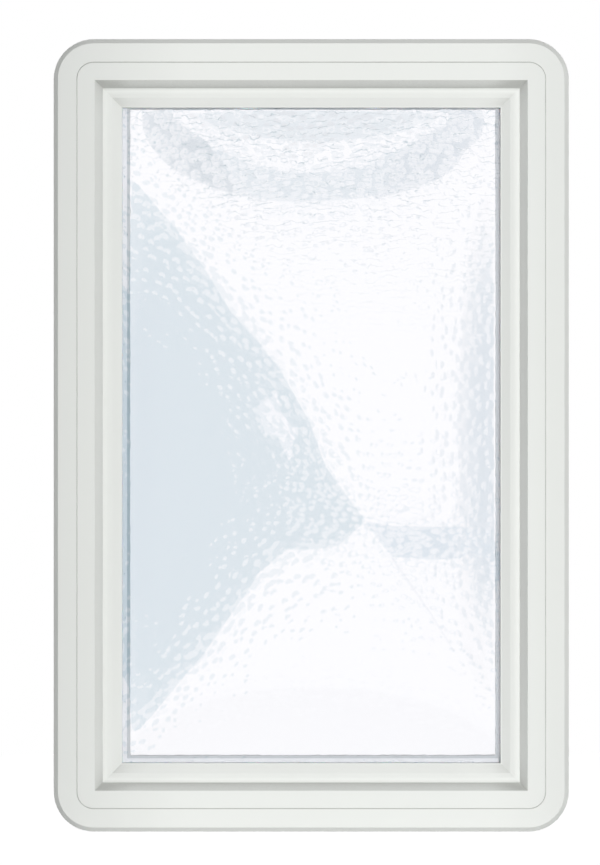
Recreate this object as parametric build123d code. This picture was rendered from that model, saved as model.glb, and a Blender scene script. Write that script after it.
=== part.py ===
from build123d import *
import math
import os

# Framed garage door window, clamped on a door panel: X is right, Y is inwards, Z is up.
# All values are millimetres. An inset is measured inwards from the frame's outer edge,
# and a depth from the door's outer skin: negative towards the viewer, positive into the door.

# Overall size and the door that the window is made for
frame_width = 330.2
frame_height = 508.0
door_thickness = 44.5

# Moulded flange, the same on both frames
flange_height = 7.2
corner_inset = 25.7
wall = 2.8
foot_width = 2.5
land_inner = 16.2
land_outer = 19.2
rim_bevel_width = 2.9
rim_bevel_height = 3.3
core_draft = 0.4

# Fine line round the face of the outer flange
line_inset = 15.0
line_width = 0.6
line_depth = 0.25
line_step = 0.1

# Stepped moulding of the outer frame, from the flange down to the glass
slope_inset = 26.4
slope_foot = 31.4
ledge_inset = 37.4
band_foot = 42.7
lip_inset = 43.6
lip_front = 1.85
bed_depth = 5.0

# Collar that stands in the door's cut-out, and what holds the two frames together
collar_outer = 30.6
collar_inner = 33.2
collar_depth = 26.0
screw_inset = 26.6
post_radius = 4.2
post_end = 24.0
pilot_radius = 1.6
pilot_length = 20.0
clearance_radius = 2.3
head_radius = 4.6
head_depth = 1.5
side_screw_heights = (-165.0, 0.0, 165.0)
end_screw_offsets = (0.0,)

# Sealed double glazing: it sits a little right of and above the frame's middle
pane_inset = 36.0
pane_thickness = 3.0
glazing_shift_x = 1.06
glazing_shift_z = 2.0
front_pane_depth = 6.0
cavity = 12.0
field_width = 235.4
field_height = 415.9
spacer_width = 1.8
bow = 3.0
bow_easing = 0.25
edge_seal_setback = 1.0

# Soft seals
foam_start = 3.5
foam_end = 15.2
bead_start = 38.8
bead_end = 43.4
gasket_start = 38.4
gasket_lip = 43.8
gasket_reach = 50.0

# Derived
half_width = frame_width / 2
half_height = frame_height / 2
core_depth = -flange_height + wall
inner_core = door_thickness - core_depth
inner_top = door_thickness + flange_height
window_middle = Location((0, 0, half_height - (land_inner + land_outer) / 2))
glazing_middle = Location((glazing_shift_x, 0, glazing_shift_z))
pane_width = frame_width - 2 * pane_inset
pane_height = frame_height - 2 * pane_inset
cavity_front = front_pane_depth + pane_thickness
cavity_back = cavity_front + cavity
rear_pane_back = cavity_back + pane_thickness
spacer_outer_width = field_width + 2 * spacer_width
spacer_outer_height = field_height + 2 * spacer_width


def section(points):
    """A closed section from (inset, depth, corner radius) points, standing on the bottom rail."""
    plane = Plane(origin=(0, 0, -half_height), x_dir=(0, 0, 1), z_dir=(-1, 0, 0))
    corners = [(inset, depth) for inset, depth, _ in points]
    radii = [radius for _, _, radius in points]
    return make_face(plane * FilletPolyline(*corners, radius=radii, close=True))


def ring(points, path_inset, corner):
    """Sweep a section once round the window along the rectangle at path_inset."""
    x = half_width - path_inset
    z = half_height - path_inset
    path = Polyline((0, 0, -z), (x, 0, -z), (x, 0, z), (-x, 0, z), (-x, 0, -z), close=True)
    return sweep(section(points), path=path, transition=corner)


def round_ring(points):
    """A ring whose corners turn about the sharp inner corners of the flange."""
    return ring(points, corner_inset, Transition.ROUND)


def mitred_ring(points):
    """A ring with sharp mitred corners."""
    return ring(points, 0, Transition.RIGHT)


def slab(width, height, front, back):
    """A flat rectangular plate between two depths, centred on the window."""
    middle = (front + back) / 2
    return Pos(0, middle, 0) * Box(width, back - front, height)


def screw_places():
    """Middle of every screw, as (x, z): three up each side and one amid each end."""
    x = half_width - screw_inset
    z = half_height - screw_inset
    sides = [(side * x, height) for side in (-1, 1) for height in side_screw_heights]
    ends = [(offset, end * z) for end in (-1, 1) for offset in end_screw_offsets]
    return sides + ends


def along_depth(radius, front, back):
    """A round post along Y from front to back."""
    return Pos(0, (front + back) / 2, 0) * Rot(-90, 0, 0) * Cylinder(radius, back - front)


def at_screws(piece):
    """Copies of a piece at every screw."""
    return [Pos(x, 0, z) * piece for x, z in screw_places()]


def flange_back(face, land):
    """The cored back of a flange from its inner end to its rim foot, with the bearing rib."""
    return [
        (land_outer + core_draft, face, 0),
        (land_outer, land, 0),
        (land_inner, land, 0),
        (land_inner - core_draft, face, 0),
        (foot_width + core_draft, face, 0),
        (foot_width, land, 0),
    ]


def outer_flange():
    """Flange on the door's outer skin: bevelled rim, and a fine line round its face."""
    rim_face = -flange_height + line_step
    points = [
        (0, 0, 0),
        (0, rim_face + rim_bevel_height, 0.8),
        (rim_bevel_width, rim_face, 0.3),
        (line_inset - line_width / 2, rim_face, 0),
        (line_inset, rim_face + line_depth, 0),
        (line_inset + line_width / 2, -flange_height, 0),
        (corner_inset, -flange_height, 0),
        (corner_inset, core_depth + 0.94, 0),
        (corner_inset - 0.9, core_depth, 0),
    ]
    return round_ring(points + flange_back(core_depth, 0))


def outer_moulding():
    """Slope, crowned ledge, flat band and lip round the glass, and the collar behind them."""
    points = [
        (corner_inset, -flange_height, 0),
        (slope_inset, -flange_height, 0.35),
        (slope_foot, -1.6, 0.4),
        (33.7, -2.0, 10.0),
        (ledge_inset, -1.1, 0.4),
        (band_foot, 1.6, 0.6),
        (lip_inset, lip_front, 0.3),
        (lip_inset, bed_depth, 0),
        (37.9, bed_depth, 0),
        (37.4, 2.3, 0),
        (34.8, 1.0, 0),
        (collar_inner + 0.2, 1.0, 0),
        (collar_inner, collar_depth, 0),
        (collar_outer, collar_depth, 0),
        (collar_outer, 1.6, 0),
        (corner_inset, core_depth + 0.94, 0),
    ]
    return mitred_ring(points)


def screw_posts():
    """Posts that take the screws: they stand beside the collar, on the skin of the slope."""
    post = along_depth(post_radius, core_depth - 2, post_end)
    behind_skin = mitred_ring(
        [
            (land_inner, core_depth - 1, 0),
            (corner_inset - 0.5, core_depth - 1, 0),
            (collar_outer + 0.5, 0.6, 0),
            (collar_outer + 0.5, post_end, 0),
            (land_inner, post_end, 0),
        ]
    )
    return (Part() + at_screws(post)) & behind_skin


def make_outer_frame():
    """One white moulding: flange, stepped moulding, collar and screw posts."""
    pilot = along_depth(pilot_radius, post_end - pilot_length, post_end + 1)
    body = outer_flange() + outer_moulding() + screw_posts()
    return body - at_screws(pilot)


def inner_flange():
    """Flange on the door's inner skin."""
    points = [
        (0, door_thickness, 0),
        (0, inner_top - rim_bevel_height, 0.8),
        (rim_bevel_width, inner_top, 0.3),
        (corner_inset, inner_top, 0),
        (corner_inset, inner_core, 0),
    ]
    return round_ring(points + flange_back(inner_core, door_thickness))


def inner_moulding():
    """Deep reveal from the inner flange down to the foot that clamps the glazing."""
    points = [
        (corner_inset, inner_top, 0),
        (33.0, inner_top, 1.2),
        (41.4, 29.5, 1.2),
        (lip_inset, 28.7, 0.5),
        (lip_inset, collar_depth, 0),
        (pane_inset, collar_depth, 0),
        (pane_inset, 28.4, 0),
        (39.3, 28.4, 0),
        (31.5, inner_core, 0),
        (corner_inset, inner_core, 0),
    ]
    return mitred_ring(points)


def make_inner_frame():
    """The clamping frame, with holes for the long screws that reach the outer frame's posts."""
    hole = along_depth(clearance_radius, inner_core - 1, inner_top + 1)
    recess = along_depth(head_radius, inner_top - head_depth, inner_top + 1)
    body = inner_flange() + inner_moulding()
    return body - at_screws(hole + recess)


def make_foam_seal():
    """Closed cell foam ring in the channel behind the outer flange, pressed flush."""
    points = [
        (foam_start, core_depth, 0),
        (foam_end, core_depth, 0),
        (foam_end, 0, 0),
        (foam_start, 0, 0),
    ]
    return round_ring(points)


def bulge(x, z):
    """How far a sheet held round the glazing field stands out under even pressure."""
    half_x = field_width / 2
    half_z = field_height / 2
    if abs(x) >= half_x or abs(z) >= half_z:
        return 0.0
    total = 0.0
    crown = 0.0
    for n in (1, 3, 5, 7):
        k = n * math.pi / (2 * half_x)
        sign = math.copysign(1, math.sin(n * math.pi / 2))
        fade = 1 / math.cosh(k * half_z)
        total += sign / n**3 * math.cos(k * x) * (1 - math.cosh(k * z) * fade)
        crown += sign / n**3 * (1 - fade)
    raised = bow * max(total / crown, 0.0)
    return math.hypot(raised, bow_easing) - bow_easing


def bowed_sheet(front):
    """Acrylic sheet, flat where it is sealed and bowed outwards over the field.

    The sealed unit bows as one, so both its sheets have this form.
    """
    columns = 49
    rows = 81
    back = front + pane_thickness
    grid = []
    for row in range(rows):
        z = field_height * (row / (rows - 1) - 0.5)
        xs = [field_width * (column / (columns - 1) - 0.5) for column in range(columns)]
        grid.append([Vector(x, front - bulge(x, z), z) for x in xs])
    skin = Face.make_surface_from_array_of_points(grid, tol=0.005)
    field = extrude(skin, amount=pane_thickness, dir=(0, 1, 0))
    opening = slab(field_width, field_height, front - 1, back + 1)
    rim = slab(pane_width, pane_height, front, back) - opening
    return glazing_middle * (rim + field)


def side_prism(side, outer, inner, front, back):
    """A prism over the mitred quarter of a frame that runs between two rectangles.

    outer and inner are the rectangles' half sizes, as (x, z).
    """
    ox, oz = outer
    ix, iz = inner
    outlines = {
        "top": [(-ox, oz), (ox, oz), (ix, iz), (-ix, iz)],
        "bottom": [(-ox, -oz), (ox, -oz), (ix, -iz), (-ix, -iz)],
        "left": [(-ox, -oz), (-ox, oz), (-ix, iz), (-ix, -iz)],
        "right": [(ox, -oz), (ox, oz), (ix, iz), (ix, -iz)],
    }
    corners = [(x, front, z) for x, z in outlines[side]]
    outline = make_face(Polyline(*corners, close=True))
    return extrude(outline, amount=back - front, dir=(0, 1, 0))


def make_spacer(side):
    """One mitred bar of the spacer between the panes: top, bottom, left or right."""
    outer = (spacer_outer_width / 2, spacer_outer_height / 2)
    inner = (field_width / 2, field_height / 2)
    return glazing_middle * side_prism(side, outer, inner, cavity_front, cavity_back)


def make_edge_seal():
    """Pale sealant between the panes, outside the spacer."""
    outer_width = pane_width - 2 * edge_seal_setback
    outer_height = pane_height - 2 * edge_seal_setback
    block = slab(outer_width, outer_height, cavity_front, cavity_back)
    hole = slab(spacer_outer_width, spacer_outer_height, cavity_front - 1, cavity_back + 1)
    return glazing_middle * (block - hole)


def make_front_bead():
    """Clear sealant bead that beds the glazing on the lip of the outer frame."""
    points = [
        (bead_start, bed_depth, 0),
        (bead_end, bed_depth, 0),
        (bead_end, front_pane_depth, 0),
        (bead_start, front_pane_depth, 0),
    ]
    return mitred_ring(points)


def make_rear_gasket(side):
    """One mitred strip of the rubber gasket between the rear pane and the inner frame."""
    points = [
        (gasket_start, rear_pane_back, 0),
        (gasket_lip, rear_pane_back, 0.7),
        (gasket_lip - 0.5, collar_depth, 0),
        (gasket_start, collar_depth, 0),
    ]
    outer = (half_width, half_height)
    inner = (half_width - gasket_reach, half_height - gasket_reach)
    quarter = side_prism(side, outer, inner, rear_pane_back - 1, collar_depth + 1)
    return mitred_ring(points) & quarter


def save(name, piece):
    """Write one node, moved so that the origin is on the flange's bearing rib."""
    export_step(window_middle * piece, f"parts/{name}.step")
    print(name, round(piece.volume / 1000, 2), "cm3")


os.makedirs("parts", exist_ok=True)
save("outer_frame", make_outer_frame())
save("inner_frame", make_inner_frame())
save("foam_seal", make_foam_seal())
save("front_bead", make_front_bead())
save("front_pane", bowed_sheet(front_pane_depth))
save("rear_pane", bowed_sheet(cavity_back))
save("edge_seal", make_edge_seal())
for name in ("top", "bottom", "left", "right"):
    save(f"spacer_{name}", make_spacer(name))
    save(f"rear_gasket_{name}", make_rear_gasket(name))
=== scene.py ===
# %% [markdown]
# # A framed garage door window
# This lesson dresses one window for a garage door panel: a white moulded frame round a sealed pair of
# acrylic panes, the outer one hammered so that nobody can look in. The rigid parts come from a CAD model,
# packed as a fixed frame. We could model them again here, but then the looks and the working part would
# drift apart, so we load them and only add finishes, the hammered face, the sealant and the screws.

import math

import bmesh
import bpy
import numpy as np
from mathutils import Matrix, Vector


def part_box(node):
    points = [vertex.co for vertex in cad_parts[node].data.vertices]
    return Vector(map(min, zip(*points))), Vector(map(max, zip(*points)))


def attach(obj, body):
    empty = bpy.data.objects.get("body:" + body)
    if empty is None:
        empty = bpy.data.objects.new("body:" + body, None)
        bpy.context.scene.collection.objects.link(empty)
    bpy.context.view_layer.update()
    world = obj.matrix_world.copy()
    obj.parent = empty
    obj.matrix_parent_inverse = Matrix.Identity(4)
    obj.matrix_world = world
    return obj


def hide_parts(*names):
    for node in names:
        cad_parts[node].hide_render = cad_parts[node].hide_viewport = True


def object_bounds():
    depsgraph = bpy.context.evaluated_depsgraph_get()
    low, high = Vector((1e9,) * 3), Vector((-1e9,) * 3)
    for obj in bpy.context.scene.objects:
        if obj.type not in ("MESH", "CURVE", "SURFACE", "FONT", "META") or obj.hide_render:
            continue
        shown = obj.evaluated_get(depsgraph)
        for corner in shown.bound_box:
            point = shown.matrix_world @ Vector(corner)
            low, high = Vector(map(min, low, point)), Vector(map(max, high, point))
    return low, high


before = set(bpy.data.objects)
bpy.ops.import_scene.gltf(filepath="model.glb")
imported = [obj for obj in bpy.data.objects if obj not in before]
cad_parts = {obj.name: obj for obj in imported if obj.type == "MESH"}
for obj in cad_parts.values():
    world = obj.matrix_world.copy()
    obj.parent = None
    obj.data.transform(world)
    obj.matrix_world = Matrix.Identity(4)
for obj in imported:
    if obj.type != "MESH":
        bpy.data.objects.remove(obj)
cad_low, cad_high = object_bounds()
scene = bpy.context.scene
print("nodes:", ", ".join(sorted(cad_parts)))
print("CAD box in mm:", [round(1000 * v, 1) for v in (*cad_low, *cad_high)])

# %% [markdown]
# ## The sizes we build from
# The origin lies where the outer flange bears on the door, at the middle of the bottom rail. The glazing
# sits a little to the right of the frame's middle and a little high, as it does in the photo. Those places
# could be typed in as numbers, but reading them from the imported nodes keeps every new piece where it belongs.

# %% Places and sizes
MM = 0.001
window_middle = Vector((0, 0, (cad_low.z + cad_high.z) / 2))
pane_low, pane_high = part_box("front_pane")
glazing_x = (pane_low.x + pane_high.x) / 2
glazing_z = (pane_low.z + pane_high.z) / 2
pane_width = pane_high.x - pane_low.x
pane_height = pane_high.z - pane_low.z
pane_back = pane_high.y
pane_thickness = 3 * MM
pane_front = pane_back - pane_thickness
print("glazing middle in mm:", round(glazing_x / MM, 2), round(glazing_z / MM, 2))
print("pane in mm:", round(pane_width / MM, 1), "x", round(pane_height / MM, 1))

# %% [markdown]
# ## The camera
# The photo looks almost straight at the window from far away: its outline hardly narrows and both side
# walls show the same sliver. A short lens would show the reveal's sides, and a flat orthographic camera
# would lose the little depth there is, so we use a long lens a few metres away. The sensor follows the
# longer side of the picture, so the picture's height fixes the lens.

# %% Camera at the photo's angle
camera_distance = 3.2
photo_rows = 865
photo_pixel = 0.6418 * MM
photo_off_x = -7.2 * MM
photo_off_z = 1.85 * MM
sensor_size = 36
camera = bpy.data.objects.new("camera", bpy.data.cameras.new("camera"))
camera.data.sensor_fit = "AUTO"
camera.data.sensor_width = sensor_size
camera.data.lens = sensor_size * camera_distance / (photo_rows * photo_pixel)
camera.location = (photo_off_x, -camera_distance, window_middle.z + photo_off_z)
camera.rotation_euler = (math.radians(90), 0, 0)
scene.collection.objects.link(camera)
scene.camera = camera
scene.view_settings.view_transform = "Standard"
print("lens in mm:", round(camera.data.lens, 1))

# %% [markdown]
# ## Helpers for materials
# A material here is a small graph of nodes. Wiring each node by hand takes three lines, which soon hides the
# idea behind the typing. These helpers make a node with its values, join two sockets or do one step of
# arithmetic, and nothing more.


# %% Make a node and join two sockets
def add_node(tree, kind, **values):
    """Makes a node and sets its properties or its input values by name."""
    node = tree.nodes.new(kind)
    for name, value in values.items():
        label = name.replace("_", " ")
        if hasattr(node, name):
            setattr(node, name, value)
        elif label in node.inputs:
            node.inputs[label].default_value = value
        else:
            node.inputs[label.title()].default_value = value
    return node


def join(tree, source, target):
    """Joins an output socket to an input socket."""
    tree.links.new(source, target)


# %% Arithmetic, mixed colours and ranges
def calculate(tree, operation, first, second=None, clamp=False):
    """One step of arithmetic. Each operand is a socket or a number."""
    node = add_node(tree, "ShaderNodeMath", operation=operation, use_clamp=clamp)
    for place, operand in enumerate((first, second)):
        if operand is None:
            continue
        if isinstance(operand, (int, float)):
            node.inputs[place].default_value = operand
        else:
            join(tree, operand, node.inputs[place])
    return node.outputs[0]


def blend_colours(tree, factor, first, second):
    """Mixes two colours. Each is a socket or three numbers."""
    node = add_node(tree, "ShaderNodeMix", data_type="RGBA")
    join(tree, factor, node.inputs["Factor"])
    for place, colour in ((6, first), (7, second)):
        if isinstance(colour, tuple):
            node.inputs[place].default_value = (*colour, 1)
        else:
            join(tree, colour, node.inputs[place])
    return node.outputs[2]


def stretch_range(tree, value, low, high, to_low, to_high):
    """Spreads a value from one range over another."""
    node = add_node(tree, "ShaderNodeMapRange")
    join(tree, value, node.inputs["Value"])
    for name, number in (("From Min", low), ("From Max", high), ("To Min", to_low), ("To Max", to_high)):
        node.inputs[name].default_value = number
    return node.outputs[0]


# %% An empty material
def new_material(name, colour):
    """An empty material with its output and a Principled shader, and a plain colour for the viewport."""
    material = bpy.data.materials.new(name)
    material.use_nodes = True
    material.diffuse_color = (*colour, 1)
    tree = material.node_tree
    tree.nodes.clear()
    output = add_node(tree, "ShaderNodeOutputMaterial")
    shader = add_node(tree, "ShaderNodeBsdfPrincipled")
    shader.inputs["Base Color"].default_value = (*colour, 1)
    join(tree, shader.outputs[0], output.inputs["Surface"])
    return material, tree, shader, output


# %% [markdown]
# ## The studio: floor and surroundings
# The photo was taken in a white studio. Its background is pure white, but a floor lit until it looks white
# would light the window from below as well. So this floor is grey paint under a glow that only the camera,
# mirrors and clear panes see. Near the window the paint adds to the glow and can hold a shadow, and farther
# away the glow alone is left. The world does the same: white where it is seen, dim where it lights.


# %% What the camera, a reflection or a clear pane sees
def seen_directly(tree):
    """1 for camera, glossy and transmitted rays, 0 for light that falls on something."""
    path = add_node(tree, "ShaderNodeLightPath")
    either = calculate(tree, "MAXIMUM", path.outputs["Is Camera Ray"], path.outputs["Is Glossy Ray"])
    return calculate(tree, "MAXIMUM", either, path.outputs["Is Transmission Ray"])


# %% World
world = bpy.data.worlds.new("studio")
world.use_nodes = True
scene.world = world
tree = world.node_tree
tree.nodes.clear()
ambient_light = 0.04
seen = seen_directly(tree)
strength = stretch_range(tree, seen, 0, 1, ambient_light, 1)
background = add_node(tree, "ShaderNodeBackground", Color=(1, 1, 1, 1))
join(tree, strength, background.inputs["Strength"])
world_output = add_node(tree, "ShaderNodeOutputWorld")
join(tree, background.outputs[0], world_output.inputs["Surface"])
print("ambient light:", ambient_light)

# %% Floor mesh
floor_half = 6
floor_front = -0.9
floor_mesh = bpy.data.meshes.new("floor")
builder = bmesh.new()
bmesh.ops.create_grid(builder, x_segments=24, y_segments=24, size=floor_half)
bmesh.ops.translate(builder, verts=builder.verts, vec=(0, floor_half + floor_front, 0))
builder.to_mesh(floor_mesh)
builder.free()
floor = bpy.data.objects.new("floor", floor_mesh)
floor.location.z = cad_low.z
scene.collection.objects.link(floor)
print("floor at z in mm:", round(floor.location.z / MM, 1))

# %% Floor paint
near_level = 0.90
shadow_reach = 0.2
glow_reach = 0.8
floor_paint, tree, shader, output = new_material("floor paint", (0.35, 0.35, 0.35))
shader.inputs["Roughness"].default_value = 0.9
place = add_node(tree, "ShaderNodeTexCoord")
distance = add_node(tree, "ShaderNodeVectorMath", operation="LENGTH")
join(tree, place.outputs["Object"], distance.inputs[0])
seen = seen_directly(tree)
near_glow = add_node(tree, "ShaderNodeEmission", Color=(1, 1, 1, 1))
join(tree, calculate(tree, "MULTIPLY", seen, near_level), near_glow.inputs["Strength"])
near_floor = add_node(tree, "ShaderNodeAddShader")
join(tree, shader.outputs[0], near_floor.inputs[0])
join(tree, near_glow.outputs[0], near_floor.inputs[1])
far_floor = add_node(tree, "ShaderNodeEmission", Color=(1, 1, 1, 1), Strength=1.0)
fade = stretch_range(tree, distance.outputs["Value"], shadow_reach, glow_reach, 0.0, 1.0)
whole_floor = add_node(tree, "ShaderNodeMixShader")
join(tree, calculate(tree, "MULTIPLY", fade, seen), whole_floor.inputs[0])
join(tree, near_floor.outputs[0], whole_floor.inputs[1])
join(tree, far_floor.outputs[0], whole_floor.inputs[2])
join(tree, whole_floor.outputs[0], output.inputs["Surface"])
floor_mesh.materials.append(floor_paint)
print("the glow is whole from", glow_reach, "m away")

# %% [markdown]
# ## Lamps
# Every moulding of the frame turns a different way, so their brightness tells where the light came from. The
# slopes at the top and right are darkest, the one at the left is brightest, and the left flange fades. That
# is one large soft lamp behind the camera, a little to its right. Small lamps would draw hard edges. Two
# flags stand between lamp and window, as a photographer sets them, and do nothing but cast shadow: the one
# at the left dims the left flange, and the one at the right takes a little from the right edge.
#
# Two more lamps light the sides and the back, which the photo doesn't show. They stand at 45 degrees behind
# the window, so that hardly any of their light reaches the faces that look forward. No lamp shows in the
# panes: what those mirror is built on its own below.


# %% A soft lamp
def soft_lamp(name, place, width, height, power):
    """A lamp with a flat face that shines from a place at the middle of the window."""
    data = bpy.data.lights.new(name, "AREA")
    data.shape = "RECTANGLE"
    data.size = width
    data.size_y = height
    data.energy = power
    lamp = bpy.data.objects.new(name, data)
    lamp.location = place
    lamp.rotation_euler = (window_middle - Vector(place)).to_track_quat("-Z", "Y").to_euler()
    lamp.visible_camera = False
    lamp.visible_glossy = False
    lamp.visible_transmission = False
    scene.collection.objects.link(lamp)


# %% Light the window
soft_lamp("front soft box", (0.70, -4.6, 0.36), 1.4, 0.7, 207)
for side, x in (("left", -2.6), ("right", 2.6)):
    soft_lamp(f"rear {side} soft box", (x, 2.6, 0.6), 1.4, 1.0, 64)

# %% Flags in front of the lamp
flag_half = 0.5
flag_y = -1.31
flag_edges = {"left": -0.056, "right": 0.487}
flag_mesh = bpy.data.meshes.new("flag")
builder = bmesh.new()
bmesh.ops.create_grid(builder, x_segments=4, y_segments=4, size=flag_half)
builder.to_mesh(flag_mesh)
builder.free()
for side, edge in flag_edges.items():
    flag = bpy.data.objects.new(f"flag_{side}", flag_mesh)
    flag.location = (edge + math.copysign(flag_half, edge), flag_y, window_middle.z)
    flag.rotation_euler.x = math.radians(90)
    for ray in ("visible_camera", "visible_diffuse", "visible_glossy", "visible_transmission"):
        setattr(flag, ray, False)
    scene.collection.objects.link(flag)
print("flags leave open, in m:", round(flag_edges["right"] - flag_edges["left"], 3))

# %% [markdown]
# ## What the panes mirror
# The blue-grey shapes in the glass aren't on it. They are the studio's darker walls and ceiling, seen in two
# sheets that bow outwards a few millimetres. Shapes painted on the pane would stay put when the view turns,
# which no reflection does. So we hang cards far in front of the window, where the mirrored sight lines from
# the camera end, and let the bowed, hammered acrylic bend them. Each outline is in millimetres from the
# middle of the glazing, on a plane six metres in front of it.

# %% Card outlines
card_distance = 6.0
card_depth = pane_front - card_distance
white_sheet_outline = [(-2200, -1700), (2200, -1700), (2200, 1900), (-2200, 1900)]
wedge_outline = [
    (-2100, 480), (-760, 480), (-658, 482), (-574, 457), (-475, 388), (-381, 287), (-250, 218), (-138, 150),
    (-2, 27), (80, -88), (165, -144), (277, -217), (128, -289), (25, -299), (-102, -298), (-235, -353),
    (-341, -460), (-406, -552), (-483, -610), (-600, -680), (-2100, -680),
]
lamp_glimpse_outline = [(-274, 60), (-166, 95), (-140, 47), (-69, 5), (-94, -76), (-166, -7), (-225, -7)]
arc_outline = [
    (-260, 655), (-77, 667), (95, 673), (260, 664), (269, 834), (187, 799), (82, 795), (-66, 792),
    (-157, 792), (-260, 812),
]
arc_end_outline = [
    (-260, 655), (-368, 639), (-483, 618), (-500, 626), (-480, 672), (-420, 732), (-350, 800), (-300, 836),
    (-260, 822),
]
ceiling_outline = [(-330, 880), (-150, 935), (0, 940), (150, 935), (330, 880), (700, 1500), (-700, 1500)]
high_ceiling_outline = [(-2100, 1110), (2100, 1110), (2100, 1850), (-2100, 1850)]
right_band_outline = [
    (277, -217), (415, -221), (576, -210), (771, -194), (1100, -180), (1100, -235), (815, -242),
    (749, -263), (557, -288), (401, -300), (330, -258),
]
edge_strip_outline = [
    (700, 480), (750, 350), (780, 200), (790, 60), (785, -75), (760, -166), (720, -304), (680, -417),
    (640, -520), (2100, -520), (2100, 480),
]
stand_outline = [(395, -296), (516, -402), (601, -481), (601, -495), (516, -416), (395, -310)]
print("the wedge has", len(wedge_outline), "corners, and the cards hang at y in m:", round(card_depth, 3))

# %% [markdown]
# ### Cards that only mirrors see
# A card in front of a window would also show through it from behind, and shade the floor. Each card's paint
# glows for rays that were mirrored at least once and is clear for all others. Some walls grow darker to one
# side, which takes a second shade. Cards could be lit by lamps instead, but a glow is the same from every
# side and never spills on the frame.


# %% Paint for a card
def card_paint(name, shade, glow, far_shade, far_x, near_x):
    """A glow for mirrored rays. With a second shade, it changes sideways from far_x to near_x."""
    material = bpy.data.materials.new(name)
    material.use_nodes = True
    tree = material.node_tree
    tree.nodes.clear()
    light = add_node(tree, "ShaderNodeEmission", Color=(*shade, 1), Strength=glow)
    if far_shade:
        split = add_node(tree, "ShaderNodeSeparateXYZ")
        join(tree, add_node(tree, "ShaderNodeTexCoord").outputs["Object"], split.inputs[0])
        nearness = stretch_range(tree, split.outputs["X"], far_x, near_x, 0.0, 1.0)
        join(tree, blend_colours(tree, nearness, far_shade, shade), light.inputs["Color"])
    path = add_node(tree, "ShaderNodeLightPath")
    in_a_mirror = calculate(tree, "MINIMUM", path.outputs["Glossy Depth"], 1.0)
    unseen = add_node(tree, "ShaderNodeBsdfTransparent")
    either = add_node(tree, "ShaderNodeMixShader")
    join(tree, in_a_mirror, either.inputs[0])
    join(tree, unseen.outputs[0], either.inputs[1])
    join(tree, light.outputs[0], either.inputs[2])
    output = add_node(tree, "ShaderNodeOutputMaterial")
    join(tree, either.outputs[0], output.inputs["Surface"])
    return material


# %% A card
def hang_card(name, outline, shade, step=0.0, glow=1.0, far_shade=None, far_x=0.0, near_x=0.0):
    """A flat card. A step brings it nearer to the window, so that no two cards share a plane."""
    mesh = bpy.data.meshes.new(name)
    builder = bmesh.new()
    y = card_depth + step
    face = builder.faces.new(
        [builder.verts.new((glazing_x + x * MM, y, glazing_z + z * MM)) for x, z in outline]
    )
    face.normal_update()
    bmesh.ops.triangulate(builder, faces=[face])
    builder.to_mesh(mesh)
    builder.free()
    mesh.materials.append(card_paint(name, shade, glow, far_shade, far_x, near_x))
    card = bpy.data.objects.new(name, mesh)
    for ray in ("visible_camera", "visible_diffuse", "visible_shadow"):
        setattr(card, ray, False)
    scene.collection.objects.link(card)


def flipped(outline):
    """The same outline on the other side of the middle."""
    return [(-x, z) for x, z in reversed(outline)]


# %% [markdown]
# The white sheet behind them all is a little brighter than white paper. That makes up for what the tinted
# panes swallow, so that the white parts of the glass come out as bright as they are in the photo.

# %% Hang the sheet and the cards
far_wall = (0.06, 0.30, 0.42)
side_wall = (0.08, 0.28, 0.40)
white = (1, 1, 1)
hang_card("white sheet", white_sheet_outline, white, -0.05, glow=1.12)
hang_card("wall wedge", wedge_outline, (0.12, 0.38, 0.48), 0.0, 1.0, far_wall, -0.90, -0.76)
hang_card("lamp glimpse", lamp_glimpse_outline, (0.9, 0.95, 1.0), 0.02)
hang_card("ceiling arc", arc_outline, (0.33, 0.50, 0.58), 0.01)
hang_card("ceiling arc left", arc_end_outline, (0.04, 0.20, 0.28), 0.02)
hang_card("ceiling arc right", flipped(arc_end_outline), (0.16, 0.32, 0.42), 0.02)
hang_card("ceiling", ceiling_outline, (0.38, 0.54, 0.60), 0.01)
hang_card("high ceiling", high_ceiling_outline, (0.08, 0.16, 0.20), 0.02)
hang_card("side band", right_band_outline, (0.20, 0.42, 0.56), 0.01)
hang_card("side strip", edge_strip_outline, white, 0.01, 1.0, side_wall, 0.90, 0.76)
hang_card("stand", stand_outline, (0.6, 0.66, 0.74), 0.01)

# %% [markdown]
# ## Effects that several finishes share
# Moulded plastic, sealant, rubber and zinc all drift in tone, have a fine grain or tiny pits, and wear at
# their edges. Each effect could be wired again in every material, but then tuning one means hunting for the
# others. A node group is built once, has named inputs, and each material sets its own values. A group gives
# out colours, masks and heights only, and the shader stays in the material.


# %% A start for each group
def new_group(name, inputs, outputs):
    """A node group with named sockets. Inputs are (name, kind, value), outputs are (name, kind)."""
    group = bpy.data.node_groups.new(name, "ShaderNodeTree")
    for label, kind, value in inputs:
        socket = group.interface.new_socket(label, in_out="INPUT", socket_type=kind)
        socket.default_value = value
    for label, kind in outputs:
        group.interface.new_socket(label, in_out="OUTPUT", socket_type=kind)
    entry = add_node(group, "NodeGroupInput")
    leave = add_node(group, "NodeGroupOutput")
    return group, entry, leave


def use_group(tree, group, **values):
    """Places a group in a material with its own values."""
    node = add_node(tree, "ShaderNodeGroup", node_tree=group)
    for label, value in values.items():
        node.inputs[label.replace("_", " ")].default_value = value
    return node


def object_place(tree, per_metre):
    """Object coordinates times a socket, so that a pattern has a real size."""
    place = add_node(tree, "ShaderNodeTexCoord")
    scaled = add_node(tree, "ShaderNodeVectorMath", operation="SCALE")
    join(tree, place.outputs["Object"], scaled.inputs[0])
    join(tree, per_metre, scaled.inputs["Scale"])
    return scaled.outputs[0]


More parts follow.
